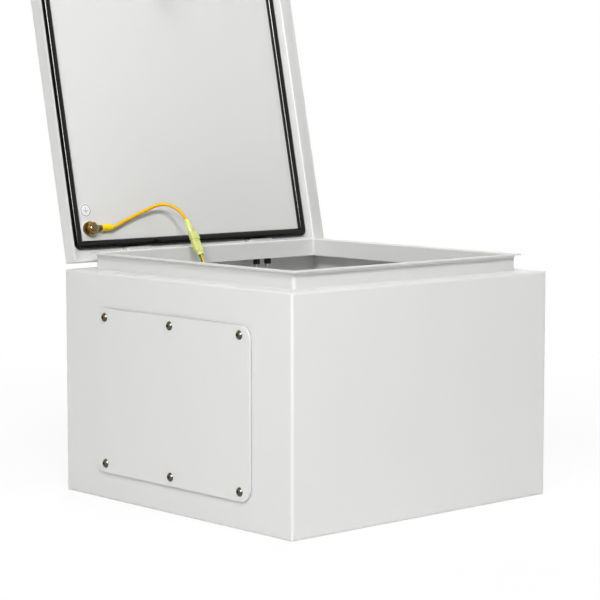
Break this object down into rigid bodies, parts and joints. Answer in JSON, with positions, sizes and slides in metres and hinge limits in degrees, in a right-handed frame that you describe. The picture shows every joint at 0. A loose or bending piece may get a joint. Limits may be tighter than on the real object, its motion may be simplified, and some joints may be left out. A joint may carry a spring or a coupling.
{
  "type": "wall-mounting sheet-steel enclosure",
  "caption": "Square folded-steel wall enclosure lying on its back with its hinged door open, with a bolted gland plate, a foam door seal, a cam lock and an earth lead to the door.",
  "frame": {"origin": "centre of the back's outside face, in the middle of the wall fixing holes", "axes": "+Z out of the back towards the door side, +X along the hinge line away from the gland plate, +Y towards the hinges"},
  "size_m": [0.4065, 0.4818, 0.6647],
  "materials": {
    "powder_coat": "fine textured light grey powder coat",
    "galvanised_steel": "galvanised sheet with a faint spangle",
    "zinc_plated_steel": "bright zinc plate",
    "yellow_passivated_steel": "zinc plate with a gold passivation",
    "black_steel": "black oxide",
    "tinned_copper": "matt tin plate on copper",
    "black_foam": "black foam with a closed glossy skin",
    "yellow_sleeve": "yellow soft plastic",
    "lead_insulation": "yellow insulation with a green stripe",
    "clear_nylon": "pale yellow-green translucent nylon",
    "zinc_casting": "matt zinc casting"
  },
  "bodies": {
    "enclosure": {"enclosure_body": "powder_coat", "gland_plate": "powder_coat", "mounting_plate": "galvanised_steel", "gland_screws": "zinc_plated_steel", "mounting_studs": "zinc_plated_steel", "mounting_nuts": "zinc_plated_steel", "hinge_base_left": "zinc_plated_steel", "hinge_base_right": "zinc_plated_steel", "hinge_pin_left": "zinc_plated_steel", "hinge_pin_right": "zinc_plated_steel", "body_earth_stud": "zinc_plated_steel", "body_earth_washer": "zinc_plated_steel", "gland_rivet_nuts": "yellow_passivated_steel", "body_earth_nut": "yellow_passivated_steel", "hinge_nuts": "black_steel", "body_ring_terminal": "tinned_copper", "gland_seal": "black_foam", "body_terminal_sleeve": "yellow_sleeve", "earth_lead_body": "lead_insulation", "lead_tab_connector": "clear_nylon"},
    "door": {"door_panel": "powder_coat", "door_seal": "black_foam", "hinge_leaf_left": "zinc_plated_steel", "hinge_leaf_right": "zinc_plated_steel", "door_earth_stud": "zinc_plated_steel", "door_earth_washer": "zinc_plated_steel", "door_earth_nut": "yellow_passivated_steel", "door_ring_terminal": "tinned_copper", "door_terminal_sleeve": "yellow_sleeve", "earth_lead_door": "lead_insulation", "lead_socket_connector": "clear_nylon", "lock_housing": "zinc_casting", "lock_seal": "black_foam", "lock_nut": "zinc_plated_steel"},
    "lock": {"lock_insert": "zinc_casting", "lock_cam": "zinc_plated_steel", "lock_cam_screw": "zinc_plated_steel"}
  },
  "joints": [
    {"name": "door_hinge", "type": "hinge", "parent": "enclosure", "child": "door", "pos_m": [0, 0.1904, 0.281], "axis": [1, 0, 0], "range_deg": [0, 102], "deforming": ["earth_lead_door", "earth_lead_body", "lead_socket_connector", "lead_tab_connector"]},
    {"name": "lock_turn", "type": "hinge", "parent": "door", "child": "lock", "pos_m": [0, 0.27193, 0.61167], "axis": [0, -0.9781, 0.2079], "range_deg": [0, 90]}
  ]
}
